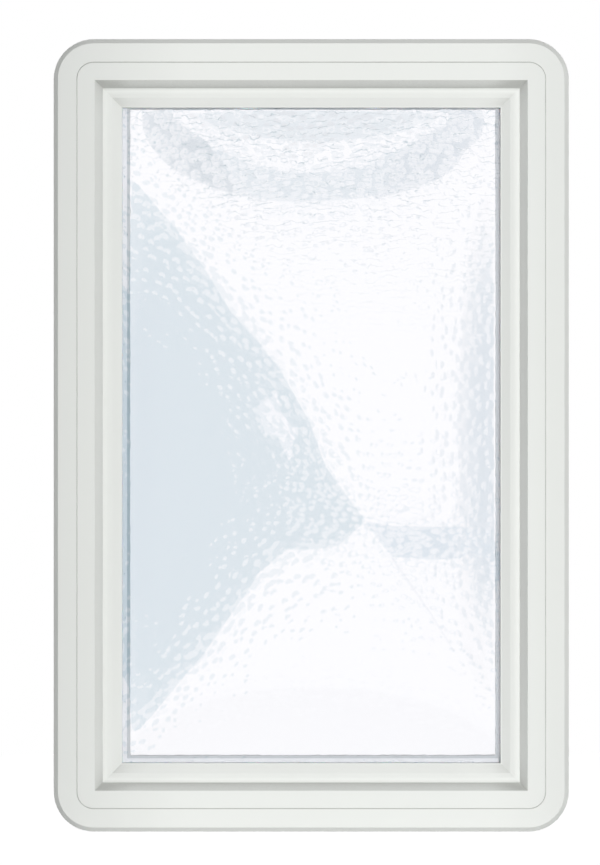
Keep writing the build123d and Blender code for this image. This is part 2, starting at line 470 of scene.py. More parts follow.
# %% Grain: the fine orange peel of a moulded or cured skin
FLOAT = "NodeSocketFloat"
COLOUR = "NodeSocketColor"
grain, entry, leave = new_group(
    "moulded grain",
    [("Grains per metre", FLOAT, 900.0), ("Unevenness", FLOAT, 0.5)],
    [("Height", FLOAT), ("Shade", FLOAT)],
)
where = object_place(grain, entry.outputs["Grains per metre"])
fine = add_node(grain, "ShaderNodeTexNoise", Scale=1.0, Detail=3.0, Roughness=0.55)
coarse = add_node(grain, "ShaderNodeTexNoise", Scale=0.22, Detail=2.0, Roughness=0.5)
join(grain, where, fine.inputs["Vector"])
join(grain, where, coarse.inputs["Vector"])
rough_part = calculate(grain, "MULTIPLY", coarse.outputs[0], entry.outputs["Unevenness"])
join(grain, calculate(grain, "ADD", fine.outputs[0], rough_part), leave.inputs["Height"])
join(grain, calculate(grain, "MULTIPLY", fine.outputs[0], coarse.outputs[0]), leave.inputs["Shade"])
print(grain.name, "gives", [s.name for s in leave.inputs if s.name])

# %% Drift: slow changes of tone over a part
drift, entry, leave = new_group(
    "tone drift",
    [
        ("Patches per metre", FLOAT, 14.0),
        ("Amount", FLOAT, 1.0),
        ("Colour", COLOUR, (0.8, 0.8, 0.8, 1)),
        ("Deeper colour", COLOUR, (0.7, 0.7, 0.7, 1)),
    ],
    [("Colour", COLOUR), ("Mask", FLOAT)],
)
where = object_place(drift, entry.outputs["Patches per metre"])
clouds = add_node(drift, "ShaderNodeTexNoise", Scale=1.0, Detail=4.0, Roughness=0.6)
join(drift, where, clouds.inputs["Vector"])
mask = calculate(drift, "MULTIPLY", clouds.outputs[0], entry.outputs["Amount"], clamp=True)
mixed = blend_colours(drift, mask, entry.outputs["Colour"], entry.outputs["Deeper colour"])
join(drift, mixed, leave.inputs["Colour"])
join(drift, mask, leave.inputs["Mask"])
print(drift.name, "gives", [s.name for s in leave.inputs if s.name])


def drifting_tone(tree, patches, amount, colour, deeper):
    """The drift between a material's own two colours."""
    node = use_group(tree, drift, Patches_per_metre=patches, Amount=amount)
    node.inputs["Colour"].default_value = (*colour, 1)
    node.inputs["Deeper colour"].default_value = (*deeper, 1)
    return node


# %% Edge wear: where hands and cloths polish a rim
wear, entry, leave = new_group(
    "edge wear",
    [("Width", FLOAT, 0.0012), ("Strength", FLOAT, 4.0)],
    [("Mask", FLOAT)],
)
rounded = add_node(wear, "ShaderNodeBevel", samples=4)
join(wear, entry.outputs["Width"], rounded.inputs["Radius"])
surface = add_node(wear, "ShaderNodeNewGeometry")
agreement = add_node(wear, "ShaderNodeVectorMath", operation="DOT_PRODUCT")
join(wear, rounded.outputs[0], agreement.inputs[0])
join(wear, surface.outputs["Normal"], agreement.inputs[1])
bare = calculate(wear, "SUBTRACT", 1.0, agreement.outputs["Value"])
bare = calculate(wear, "MULTIPLY", bare, entry.outputs["Strength"])
breaks = add_node(wear, "ShaderNodeTexNoise", Scale=160.0, Detail=3.0)
join(wear, add_node(wear, "ShaderNodeTexCoord").outputs["Object"], breaks.inputs["Vector"])
patchy = stretch_range(wear, breaks.outputs[0], 0.35, 0.65, 0.3, 1.0)
join(wear, calculate(wear, "MULTIPLY", bare, patchy, clamp=True), leave.inputs["Mask"])
print(wear.name, "gives", [s.name for s in leave.inputs if s.name])

# %% [markdown]
# ### Painted shade on sheltered faces
# The slopes of a stepped moulding are sheltered by the steps beside them, so less light reaches them. This
# group paints that shade into a base colour. Ambient occlusion finds such places on the real shape of one
# object, where a painted mask would have to be redrawn for each frame. Sides and Level say how much the shade
# counts on faces that look sideways and on faces that look up or down. A deeply closed-in corner always counts.

# %% Painted recess shade: a darker base colour where less light reaches
# The mask says where painted shade darkens a base colour: sheltered slopes and deeply closed-in corners.
painted_recess_shade, entry, leave = new_group(
    "painted_recess_shade",
    [("Reach", FLOAT, 0.006), ("Sides", FLOAT, 1.0), ("Level", FLOAT, 1.0)],
    [("Mask", FLOAT)],
)
shelter = add_node(painted_recess_shade, "ShaderNodeAmbientOcclusion", samples=16, only_local=True)
join(painted_recess_shade, entry.outputs["Reach"], shelter.inputs["Distance"])
closed_in = calculate(painted_recess_shade, "SUBTRACT", 1.0, shelter.outputs["AO"])
facing = add_node(painted_recess_shade, "ShaderNodeSeparateXYZ")
join(painted_recess_shade, add_node(painted_recess_shade, "ShaderNodeTexCoord").outputs["Normal"], facing.inputs[0])
sideways = calculate(painted_recess_shade, "ABSOLUTE", facing.outputs["X"])
sideways = calculate(painted_recess_shade, "MULTIPLY", sideways, entry.outputs["Sides"])
upwards = calculate(painted_recess_shade, "ABSOLUTE", facing.outputs["Z"])
upwards = calculate(painted_recess_shade, "MULTIPLY", upwards, entry.outputs["Level"])
facing_shade = calculate(painted_recess_shade, "MULTIPLY", closed_in, calculate(painted_recess_shade, "ADD", sideways, upwards))
packed = stretch_range(painted_recess_shade, closed_in, 0.45, 0.75, 0.0, 1.0)
join(painted_recess_shade, calculate(painted_recess_shade, "MAXIMUM", facing_shade, packed, clamp=True), leave.inputs["Mask"])
print(painted_recess_shade.name, "gives", [s.name for s in leave.inputs if s.name])

# %% Pits: the closed bubbles and specks of foam and sealant
pits, entry, leave = new_group(
    "pits",
    [("Pits per metre", FLOAT, 700.0), ("Share", FLOAT, 0.35)],
    [("Height", FLOAT), ("Mask", FLOAT)],
)
where = object_place(pits, entry.outputs["Pits per metre"])
bubbles = add_node(pits, "ShaderNodeTexVoronoi", Scale=1.0, Randomness=1.0)
join(pits, where, bubbles.inputs["Vector"])
depth = calculate(pits, "DIVIDE", bubbles.outputs["Distance"], entry.outputs["Share"], clamp=True)
join(pits, depth, leave.inputs["Height"])
join(pits, calculate(pits, "SUBTRACT", 1.0, depth), leave.inputs["Mask"])
print(pits.name, "gives", [s.name for s in leave.inputs if s.name])


# %% Bump in metres
def add_bump(tree, height, size, strength=1.0, under=None):
    """A Bump node for relief of a size in metres, laid over another normal if there is one."""
    node = add_node(tree, "ShaderNodeBump", Strength=strength, Distance=size)
    join(tree, height, node.inputs["Height"])
    if under is not None:
        join(tree, under, node.inputs["Normal"])
    return node.outputs[0]


# %% [markdown]
# ## The frames: white moulded plastic
# Both frames are injection moulded in white plastic with a satin skin. A plain white shader would look like
# chalk. The real skin has a grain finer than half a millimetre, long soft changes of gloss where the melt
# flowed, and rims rubbed a little smoother. The grain is bump, because it is far smaller than any edge of
# the mesh, while every step of the moulding is geometry. The slopes are much darker than the ledges, top and
# bottom more than the sides, and that shade is painted into their base colour as grey by the recess shade
# group.

# %% White frame plastic
frame_white, tree, shader, output = new_material("white moulded plastic", (0.865, 0.885, 0.855))
tone = drifting_tone(tree, 9.0, 0.8, (0.855, 0.872, 0.842), (0.815, 0.835, 0.808))
skin = use_group(tree, grain, Grains_per_metre=1500.0, Unevenness=0.7)
rubbed = use_group(tree, wear, Width=0.0009, Strength=3.0)
# Painted shade: a grey laid into the base colour on the moulding's slopes and deep corners, where less light
# reaches.
slope_shade = use_group(tree, painted_recess_shade, Reach=0.020, Sides=3.6, Level=11.0)
painted_shade_grey = (0.52, 0.53, 0.505)
shaded_tone = blend_colours(tree, slope_shade.outputs["Mask"], tone.outputs["Colour"], painted_shade_grey)
join(tree, shaded_tone, shader.inputs["Base Color"])
flow_gloss = stretch_range(tree, tone.outputs["Mask"], 0.2, 0.6, 0.40, 0.50)
polish = calculate(tree, "MULTIPLY", rubbed.outputs["Mask"], 0.12)
speckled = stretch_range(tree, skin.outputs["Shade"], 0.1, 0.4, -0.03, 0.05)
gloss = calculate(tree, "SUBTRACT", calculate(tree, "ADD", flow_gloss, speckled), polish)
join(tree, gloss, shader.inputs["Roughness"])
shader.inputs["Specular IOR Level"].default_value = 0.25
join(tree, add_bump(tree, skin.outputs["Height"], 0.03 * MM, 0.55), shader.inputs["Normal"])
print(frame_white.name, "has", len(tree.nodes), "nodes")


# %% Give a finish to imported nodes
def finish_nodes(material, *names):
    """Assigns a material to every slot of the named CAD nodes."""
    for name in names:
        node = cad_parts[name]
        for slot in node.material_slots:
            slot.material = material
    print(material.name, "on", ", ".join(names))


finish_nodes(frame_white, "outer_frame", "inner_frame")

# %% [markdown]
# ## The hammered pane
# The outer pane is acrylic with a hammered face: thousands of low pebbles a few millimetres across, each a
# round crown a few hundredths of a millimetre above the valleys beside it. A bump map could fake them from
# one side, but the pane is what a buyer looks at first, so its face is real relief. One pattern of nodes
# gives the pebbles' depth. It is wired once by a function, first into Geometry Nodes, which move the corners
# of the mesh, and later into the material. The mesh is too coarse to follow small pebbles all the way, so it
# carries three tenths of their depth and bump adds the rest.

# %% [markdown]
# ### A sheet that bows
# Air sealed between the panes pushes them apart. A sheet held round its rim and pressed evenly takes a known
# shape: steep beside the rim, nearly flat at the middle, and higher along the long way than across. We could
# pull it up with a few control points, but a mirror shows each wrong slope, so we add up the first four
# terms of the series that describes the real sheet.

# %% The bow of the sealed unit
field_width = 235.4 * MM
field_height = 415.9 * MM
bow = 3.0 * MM
bow_easing = 0.04 * MM


def bowed(x, z):
    """How far a pane stands out at each point. It eases out of the flat rim over bow_easing."""
    half_x = field_width / 2
    half_z = field_height / 2
    inside = (abs(x) < half_x) & (abs(z) < half_z)
    x = np.clip(x, -half_x, half_x)
    z = np.clip(z, -half_z, half_z)
    total = np.zeros_like(x)
    crown = 0.0
    for n in (1, 3, 5, 7):
        k = n * math.pi / (2 * half_x)
        sign = math.copysign(1, math.sin(n * math.pi / 2))
        fade = 1 / math.cosh(k * half_z)
        total += sign / n**3 * np.cos(k * x) * (1 - np.cosh(k * z) * fade)
        crown += sign / n**3 * (1 - fade)
    raised = bow * np.maximum(total / crown, 0.0)
    return np.where(inside, np.hypot(raised, bow_easing) - bow_easing, 0.0)


print("bow at the middle in mm:", round(float(bowed(np.array([0.0]), np.array([0.0]))[0]) / MM, 2))


# %% Patterns on the flat of the face
def flat_place(tree, place, width, height):
    """A place on the face in widths and heights of a pattern, and its height in metres."""
    split = add_node(tree, "ShaderNodeSeparateXYZ")
    join(tree, place, split.inputs[0])
    flat = add_node(tree, "ShaderNodeCombineXYZ")
    join(tree, calculate(tree, "DIVIDE", split.outputs["X"], width), flat.inputs["X"])
    join(tree, calculate(tree, "DIVIDE", split.outputs["Z"], height), flat.inputs["Y"])
    return flat.outputs[0], split.outputs["Z"]


def flat_noise(tree, flat, scale, detail):
    """Soft noise over the face."""
    node = add_node(tree, "ShaderNodeTexNoise", noise_dimensions="2D", Scale=scale, Detail=detail)
    join(tree, flat, node.inputs["Vector"])
    return node


def flat_cells(tree, flat, randomness):
    """Cells round scattered points, one for each unit of the pattern."""
    node = add_node(tree, "ShaderNodeTexVoronoi", voronoi_dimensions="2D", Scale=1.0, Randomness=randomness)
    join(tree, flat, node.inputs["Vector"])
    return node


# %% The pattern of pebbles
pebble_width = 6.3 * MM
pebble_height = 7.2 * MM
pebble_depth = 0.060 * MM
mesh_share = 0.3
crown_end = 0.02
valley_start = 0.56


def pebble_depths(tree, place):
    """Depth of the face below the pebbles' crowns, as a share of the full depth, at a place in metres."""
    flat, _ = flat_place(tree, place, pebble_width, pebble_height)
    push = add_node(tree, "ShaderNodeVectorMath", operation="MULTIPLY_ADD")
    join(tree, flat_noise(tree, flat, 0.6, 1.0).outputs["Color"], push.inputs[0])
    push.inputs[1].default_value = (0.35, 0.35, 0)
    join(tree, flat, push.inputs[2])
    dome = add_node(tree, "ShaderNodeMapRange", interpolation_type="SMOOTHSTEP")
    join(tree, flat_cells(tree, push.outputs[0], 0.9).outputs["Distance"], dome.inputs["Value"])
    dome.inputs["From Min"].default_value = crown_end
    dome.inputs["From Max"].default_value = valley_start
    uneven = stretch_range(tree, flat_noise(tree, flat, 0.33, 1.0).outputs[0], 0.35, 0.7, 0.75, 1.4)
    return calculate(tree, "MULTIPLY", dome.outputs[0], uneven)


print("a pebble in mm:", round(pebble_width / MM, 1), "x", round(pebble_height / MM, 1))

# %% Geometry Nodes that sink a point by the pebbles' depth
relief = bpy.data.node_groups.new("hammer the face", "GeometryNodeTree")
relief.interface.new_socket("Geometry", in_out="INPUT", socket_type="NodeSocketGeometry")
relief.interface.new_socket("Geometry", in_out="OUTPUT", socket_type="NodeSocketGeometry")
entry = add_node(relief, "NodeGroupInput")
leave = add_node(relief, "NodeGroupOutput")
sink = pebble_depths(relief, add_node(relief, "GeometryNodeInputPosition").outputs[0])
offset = add_node(relief, "ShaderNodeCombineXYZ")
join(relief, sink, offset.inputs["Y"])
move = add_node(relief, "GeometryNodeSetPosition")
join(relief, entry.outputs[0], move.inputs["Geometry"])
join(relief, offset.outputs[0], move.inputs["Offset"])
join(relief, move.outputs[0], leave.inputs[0])
print(relief.name, "has", len(relief.nodes), "nodes")


# %% Read the depths back
def hammered(x, z):
    """The pebbles' depth shares at grid points, from the Geometry Nodes."""
    mesh = bpy.data.meshes.new("sample points")
    points = np.stack([x + glazing_x, np.zeros_like(x), z + glazing_z], -1).reshape(-1, 3)
    mesh.vertices.add(len(points))
    mesh.vertices.foreach_set("co", points.astype(np.float32).ravel())
    sampler = bpy.data.objects.new("sampler", mesh)
    scene.collection.objects.link(sampler)
    modifier = sampler.modifiers.new("relief", "NODES")
    modifier.node_group = relief
    moved = sampler.evaluated_get(bpy.context.evaluated_depsgraph_get()).data
    places = np.empty(len(points) * 3, np.float32)
    moved.vertices.foreach_get("co", places)
    bpy.data.objects.remove(sampler)
    bpy.data.meshes.remove(mesh)
    return places.reshape(-1, 3)[:, 1].astype(float).reshape(x.shape)


# %% Lines of the grid, close together where the face can be seen
def grid_lines(half_seen, half_pane, step):
    """Even lines over the part that shows and a few wide ones on the hidden rim."""
    count = int(round(2 * half_seen / step))
    seen = np.linspace(-half_seen, half_seen, count + 1)
    hidden = np.linspace(half_seen, half_pane, 4)[1:]
    return np.concatenate([-hidden[::-1], seen, hidden])


# %% Corners and normals of the two faces
def relief_vertices(face_x, face_z):
    """Corners of the front face: its plane, less the bow, plus the mesh's share of the relief."""
    x, z = np.meshgrid(face_x, face_z)
    y = pane_front - bowed(x, z) + hammered(x, z) * pebble_depth * mesh_share
    return np.stack([x + glazing_x, y, z + glazing_z], -1)


def calm_normals(face_x, face_z):
    """Which way the bowed sheet faces at each corner, as if it had no pebbles."""
    x, z = np.meshgrid(face_x, face_z)
    reach = 0.5 * MM
    lean_x = (bowed(x + reach, z) - bowed(x - reach, z)) / (2 * reach)
    lean_z = (bowed(x, z + reach) - bowed(x, z - reach)) / (2 * reach)
    return np.stack([-lean_x, -np.ones_like(x), -lean_z], -1).reshape(-1, 3)


def plain_vertices(face_x, face_z):
    """Corners of the smooth back face."""
    x, z = np.meshgrid(face_x, face_z)
    y = pane_back - bowed(x, z)
    return np.stack([x + glazing_x, y, z + glazing_z], -1)


# %% [markdown]
# The front face needs a fine grid and the back doesn't, and a doubled fine grid would pass the number of
# triangles that a pane deserves. So the back is a coarse grid, and one bridge of triangles joins the two
# rims along the sheet's cut edge.


# %% Grids and their rims
def add_grid(builder, corners):
    """Adds a grid of quads and returns its corners row by row."""
    rows, columns = corners.shape[:2]
    verts = [[builder.verts.new(corners[r, c]) for c in range(columns)] for r in range(rows)]
    for r in range(rows - 1):
        for c in range(columns - 1):
            builder.faces.new((verts[r][c], verts[r][c + 1], verts[r + 1][c + 1], verts[r + 1][c]))
    return verts


def rim_edges(builder, verts):
    """The edges round a grid, once round."""
    right = [row[-1] for row in verts[1:]]
    left = [row[0] for row in verts[-2:0:-1]]
    rim = [*verts[0], *right, *verts[-1][-2::-1], *left]
    return [builder.edges.get((a, b)) for a, b in zip(rim, rim[1:] + rim[:1])]


# %% A piece of the window
def new_piece(name, builder, material, slot, *stands_for):
    """Turns a bmesh into a piece of the window that rides on its one body."""
    bmesh.ops.recalc_face_normals(builder, faces=builder.faces)
    mesh = bpy.data.meshes.new(name)
    builder.to_mesh(mesh)
    builder.free()
    mesh.materials.append(material)
    piece = bpy.data.objects.new(name, mesh)
    scene.collection.objects.link(piece)
    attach(piece, "root")
    if stands_for:
        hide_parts(*stands_for)
    print(name, "has", sum(len(p.vertices) - 2 for p in mesh.polygons), "triangles")
    return piece


def smooth_by_angle(piece, degrees):
    """Smooth faces, with sharp edges where two faces meet at more than an angle."""
    piece.data.shade_smooth()
    piece.data.set_sharp_from_angle(angle=math.radians(degrees))


# %% Build the pane
seen_x = 122.8 * MM
seen_z = 212.6 * MM
fine_step = 1.1 * MM
fine_x = grid_lines(seen_x, pane_width / 2, fine_step)
fine_z = grid_lines(seen_z, pane_height / 2, fine_step)
coarse_x = np.linspace(-pane_width / 2, pane_width / 2, 41)
coarse_z = np.linspace(-pane_height / 2, pane_height / 2, 65)
pane_builder = bmesh.new()
face = add_grid(pane_builder, relief_vertices(fine_x, fine_z))
back = add_grid(pane_builder, plain_vertices(coarse_x, coarse_z))
rims = rim_edges(pane_builder, face) + rim_edges(pane_builder, back)
bmesh.ops.bridge_loops(pane_builder, edges=rims)
print("fine lines:", len(fine_x), "x", len(fine_z))

# %% [markdown]
# ## Clear acrylic
# Acrylic lets light through and mirrors a little at each of its faces. One Principled shader does both. In a
# renderer glass also stops lamps, which real glass doesn't, so light that only passes on its way to
# something else is let straight through.


# %% A material for acrylic sheet
def acrylic(name, tint, index):
    """Clear sheet that lets lamps reach what lies behind it."""
    material, tree, shader, output = new_material(name, tint)
    shader.inputs["Transmission Weight"].default_value = 1.0
    shader.inputs["IOR"].default_value = index
    shader.inputs["Roughness"].default_value = 0.0
    path = add_node(tree, "ShaderNodeLightPath")
    open_way = add_node(tree, "ShaderNodeBsdfTransparent")
    open_way.inputs["Color"].default_value = (0.95, 0.96, 0.98, 1)
    sheet = shader.outputs[0]
    for ray in ("Is Diffuse Ray", "Is Shadow Ray"):
        choice = add_node(tree, "ShaderNodeMixShader")
        join(tree, path.outputs[ray], choice.inputs[0])
        join(tree, sheet, choice.inputs[1])
        join(tree, open_way.outputs[0], choice.inputs[2])
        sheet = choice.outputs[0]
    join(tree, sheet, output.inputs["Surface"])
    return material, tree, shader


# %% [markdown]
# ### Creases
# Towards its top and right, the pane has thin level lines in its skin, each about a centimetre long. They are
# shallow creases in the calm coat, and their darkness is painted shade in the base colour, standing in for
# the darker room that they mirror. Both fade out downwards and to the left, where the pane mirrors white.
# Drawn one by one they would be hundreds of strokes. Here even rows of lines are shifted by cells and bent by
# soft noise, so that they end in small steps, and more noise breaks them up.

# %% Rows of creases
crease_length = 10.0 * MM
crease_spacing = 4.3 * MM
crease_depth = 0.006 * MM
crease_half_width = 0.11
crease_waves = 1.6


def crease_rows(tree, place):
    """Thin lines that run mostly level and end in small steps. 1 in the middle of each."""
    flat, height = flat_place(tree, place, crease_length, 2 * crease_spacing)
    shift = add_node(tree, "ShaderNodeSeparateXYZ")
    join(tree, flat_cells(tree, flat, 1.0).outputs["Color"], shift.inputs[0])
    waves = calculate(tree, "MULTIPLY", flat_noise(tree, flat, 1.3, 2.0).outputs[0], crease_waves)
    row = calculate(tree, "DIVIDE", height, crease_spacing)
    row = calculate(tree, "ADD", row, shift.outputs["X"])
    row = calculate(tree, "FRACT", calculate(tree, "ADD", row, waves))
    off_line = calculate(tree, "ABSOLUTE", calculate(tree, "SUBTRACT", row, 0.5))
    line = stretch_range(tree, off_line, 0.0, crease_half_width, 1.0, 0.0)
    kept = stretch_range(tree, flat_noise(tree, flat, 1.1, 1.0).outputs[0], 0.38, 0.54, 0.0, 1.0)
    return calculate(tree, "MULTIPLY", line, kept)


# %% Where the creases are
def crease_share(tree, place):
    """1 at the top right of the pane, fading out downwards and to the left."""
    to_the_right = 0.82
    upwards = 0.57
    across = add_node(tree, "ShaderNodeVectorMath", operation="DOT_PRODUCT")
    join(tree, place, across.inputs[0])
    across.inputs[1].default_value = (to_the_right, 0, upwards)
    start = to_the_right * glazing_x + upwards * glazing_z
    upper_right = stretch_range(tree, across.outputs["Value"], start, start + 0.045, 0.0, 1.0)
    split = add_node(tree, "ShaderNodeSeparateXYZ")
    join(tree, place, split.inputs[0])
    low = glazing_z + 0.05
    high = glazing_z + 0.18
    towards_top = stretch_range(tree, split.outputs["Z"], low, high, 0.0, 1.0)
    return calculate(tree, "MULTIPLY", upper_right, towards_top)


# %% [markdown]
# ### Two mirror images
# The photo's panes mirror the room twice: once crisply, by the smooth faces, and once broken up by the
# pebbles. Four faces of acrylic make those images. Tracing all four with pebbles on one gives a blurred mix,
# so the outer pane makes both by itself. Its body is pebbled and mirrors strongly, and a clear coat on the
# outside follows the calm, bowed sheet and mirrors crisply. Both refractive values are higher than real
# acrylic's 1.49, and that of the clear faces is lower, so that the sum is as in the photo. Under the coat,
# light that comes out from inside would be lost, so inside the sheet there is no coat.

# %% Hammered acrylic: the pebbled body
hammered_tint = (0.955, 0.955, 0.98)
painted_crease_shade = (0.50, 0.58, 0.62)
hammered_acrylic, tree, shader = acrylic("hammered acrylic", hammered_tint, 2.05)
place = add_node(tree, "ShaderNodeTexCoord").outputs["Object"]
crown = calculate(tree, "SUBTRACT", 2.0, pebble_depths(tree, place))
join(tree, add_bump(tree, crown, pebble_depth * (1 - mesh_share)), shader.inputs["Normal"])
creases = calculate(tree, "MULTIPLY", crease_rows(tree, place), crease_share(tree, place))
# Painted shade: the creases darken the base colour, standing in for the dark room they mirror; the coat gives
# them real shallow relief.
join(tree, blend_colours(tree, creases, hammered_tint, painted_crease_shade), shader.inputs["Base Color"])
print("bump carries in mm:", round(pebble_depth * (1 - mesh_share) / MM, 3))

# %% Hammered acrylic: the calm coat
surface = add_node(tree, "ShaderNodeNewGeometry")
outside = calculate(tree, "SUBTRACT", 1.0, surface.outputs["Backfacing"])
join(tree, outside, shader.inputs["Coat Weight"])
shader.inputs["Coat IOR"].default_value = 1.95
shader.inputs["Coat Roughness"].default_value = 0.0
calm_sheet = add_node(tree, "ShaderNodeAttribute", attribute_name="calm_normal")
level = calculate(tree, "SUBTRACT", 1.0, creases)
creased = add_bump(tree, level, crease_depth, 1.0, calm_sheet.outputs["Vector"])
join(tree, creased, shader.inputs["Coat Normal"])
print("creases in the coat are deep in mm:", round(crease_depth / MM, 3))

# %% Clear acrylic
clear_acrylic, tree, shader = acrylic("clear acrylic", (0.975, 0.975, 0.99), 1.35)
ripple = use_group(tree, grain, Grains_per_metre=60.0, Unevenness=0.5)
join(tree, add_bump(tree, ripple.outputs["Height"], 0.004 * MM), shader.inputs["Normal"])
finish_nodes(clear_acrylic, "rear_pane")

# %% Dress the pane
facing_front = -0.5
hammered_pane = new_piece("hammered_pane", pane_builder, hammered_acrylic, "obscure_pane", "front_pane")
hammered_pane.data.materials.append(clear_acrylic)
for polygon in hammered_pane.data.polygons:
    if polygon.normal.y > facing_front:
        polygon.material_index = 1
face_normals = calm_normals(fine_x, fine_z)
normals = np.tile((0.0, -1.0, 0.0), (len(hammered_pane.data.vertices), 1))
normals[:len(face_normals)] = face_normals
attribute = hammered_pane.data.attributes.new("calm_normal", "FLOAT_VECTOR", "POINT")
attribute.data.foreach_set("vector", normals.astype(np.float32).ravel())
smooth_by_angle(hammered_pane, 40)

# %% [markdown]
# ## Spacer, sealants, rubber and foam
# Between the panes runs a grey spacer strip with tiny vent holes to its drying agent. Outside it lies pale
# sealant, which shows at the left and below because the unit sits off the frame's middle. Black rubber holds
# the unit from behind, and foam keeps water out behind the flange. The CAD model has the right shape for
# each, so they only need a finish, and modelling holes and bubbles this small would show no more than pits.

# %% Spacer strip
spacer_grey, tree, shader, output = new_material("grey spacer", (0.42, 0.45, 0.46))
tone = drifting_tone(tree, 60.0, 0.9, (0.56, 0.59, 0.60), (0.41, 0.44, 0.45))
brushed = use_group(tree, grain, Grains_per_metre=2500.0, Unevenness=0.3)
holes = use_group(tree, pits, Pits_per_metre=300.0, Share=0.16)
dark = blend_colours(tree, holes.outputs["Mask"], tone.outputs["Colour"], (0.12, 0.13, 0.14))
join(tree, dark, shader.inputs["Base Color"])
join(tree, stretch_range(tree, brushed.outputs["Shade"], 0.1, 0.4, 0.38, 0.52), shader.inputs["Roughness"])
join(tree, add_bump(tree, holes.outputs["Height"], 0.08 * MM, 0.6), shader.inputs["Normal"])
sides = ("top", "bottom", "left", "right")
finish_nodes(spacer_grey, *[f"spacer_{side}" for side in sides])

# %% Sealant between the panes
edge_sealant, tree, shader, output = new_material("pale edge sealant", (0.80, 0.86, 0.89))
tone = drifting_tone(tree, 120.0, 1.0, (0.93, 0.93, 0.93), (0.74, 0.75, 0.75))
specks = use_group(tree, pits, Pits_per_metre=260.0, Share=0.18)
speckled = blend_colours(tree, specks.outputs["Mask"], tone.outputs["Colour"], (0.42, 0.48, 0.52))
join(tree, speckled, shader.inputs["Base Color"])
join(tree, stretch_range(tree, tone.outputs["Mask"], 0.2, 0.7, 0.35, 0.55), shader.inputs["Roughness"])
join(tree, add_bump(tree, tone.outputs["Mask"], 0.2 * MM, 0.6), shader.inputs["Normal"])
finish_nodes(edge_sealant, "edge_seal")

# %% Rubber gasket
gasket_rubber, tree, shader, output = new_material("gasket rubber", (0.03, 0.03, 0.032))
tone = drifting_tone(tree, 40.0, 1.0, (0.026, 0.026, 0.028), (0.042, 0.042, 0.043))
skin = use_group(tree, grain, Grains_per_metre=1800.0, Unevenness=0.6)
rubbed = use_group(tree, wear, Width=0.0006, Strength=3.0)
dulled = blend_colours(tree, rubbed.outputs["Mask"], tone.outputs["Colour"], (0.07, 0.07, 0.07))
join(tree, dulled, shader.inputs["Base Color"])
join(tree, stretch_range(tree, skin.outputs["Shade"], 0.1, 0.4, 0.5, 0.7), shader.inputs["Roughness"])
join(tree, add_bump(tree, skin.outputs["Height"], 0.03 * MM, 0.7), shader.inputs["Normal"])
finish_nodes(gasket_rubber, *[f"rear_gasket_{side}" for side in sides])

# %% Foam ring
foam, tree, shader, output = new_material("closed cell foam", (0.16, 0.165, 0.17))
tone = drifting_tone(tree, 90.0, 1.0, (0.18, 0.185, 0.19), (0.11, 0.115, 0.12))
cells = use_group(tree, pits, Pits_per_metre=1100.0, Share=0.45)
deep = blend_colours(tree, cells.outputs["Mask"], tone.outputs["Colour"], (0.05, 0.05, 0.055))
join(tree, deep, shader.inputs["Base Color"])
join(tree, stretch_range(tree, cells.outputs["Height"], 0.0, 1.0, 0.95, 0.8), shader.inputs["Roughness"])
join(tree, add_bump(tree, cells.outputs["Height"], 0.3 * MM, 0.8), shader.inputs["Normal"])
finish_nodes(foam, "foam_seal")

# %% [markdown]
# ## The bead of clear sealant
# The glazing is bedded on the lip in a bead of clear sealant. Pressed between two flat faces, it creeps out
# unevenly, and its wavy inner edge just shows past the lip. A straight strip would look machined. We walk
# round the opening, let the edge wander by a few waves of different lengths, and give the edge a round nose.

# %% How far the bead creeps
bead_low, bead_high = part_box("front_bead")
bead_width = 4.6 * MM
rng = np.random.default_rng(7)
waves = [(rng.uniform(0.02, 0.12), rng.uniform(0, math.tau), rng.uniform(0.3, 1.0)) for _ in range(9)]


def creep(along):
    """How far the bead has crept inwards at a distance along it, in metres."""
    total = sum(size * math.sin(math.tau * along / length + start) for length, start, size in waves)
    return (0.30 + 0.11 * total) * MM


crept = [creep(0.002 * k) / MM for k in range(700)]
print("the bead creeps in by mm:", round(min(crept), 2), "to", round(max(crept), 2))


# %% A way round the opening
def bead_points(half_x, half_z, step):
    """Points round a rectangle with the direction inwards at each, corners mitred."""
    points = []
    corners = [(-half_x, -half_z), (half_x, -half_z), (half_x, half_z), (-half_x, half_z)]
    inward = [(0, 1), (-1, 0), (0, -1), (1, 0)]
    for side, (x, z) in enumerate(corners):
        x2, z2 = corners[(side + 1) % 4]
        count = max(int(math.hypot(x2 - x, z2 - z) / step), 1)
        before = inward[side - 1]
        here = inward[side]
        points.append((x, z, before[0] + here[0], before[1] + here[1]))
        for k in range(1, count):
            t = k / count
            points.append((x + t * (x2 - x), z + t * (z2 - z), *here))
    return points


# %% Squeezed bead
nose = [
    (0.0, -1.0), (0.72, -1.0), (0.9, -0.82), (0.98, -0.45), (1.0, 0.0), (0.98, 0.5), (0.9, 0.86),
    (0.72, 1.0), (0.0, 1.0),
]
outer_half_x = (bead_high.x - bead_low.x) / 2
outer_half_z = (bead_high.z - bead_low.z) / 2
bead_middle = (bead_low.y + bead_high.y) / 2
half_thick = (bead_high.y - bead_low.y) / 2
bead_builder = bmesh.new()
rings = []
walked = 0.0
last = None
for x, z, in_x, in_z in bead_points(outer_half_x, outer_half_z, 2 * MM):
    if last is not None:
        walked += math.hypot(x - last[0], z - last[1])
    last = (x, z)
    reach = bead_width + creep(walked)
    ring = []
    for share, level in nose:
        away = reach * share
        corner = (x + in_x * away, bead_middle + level * half_thick, window_middle.z + z + in_z * away)
        ring.append(bead_builder.verts.new(corner))
    rings.append(ring)
for ring, following in zip(rings, rings[1:] + rings[:1]):
    for k in range(len(ring)):
        after = (k + 1) % len(ring)
        bead_builder.faces.new((ring[k], ring[after], following[after], following[k]))
print("the bead is long in mm:", round(walked / MM))

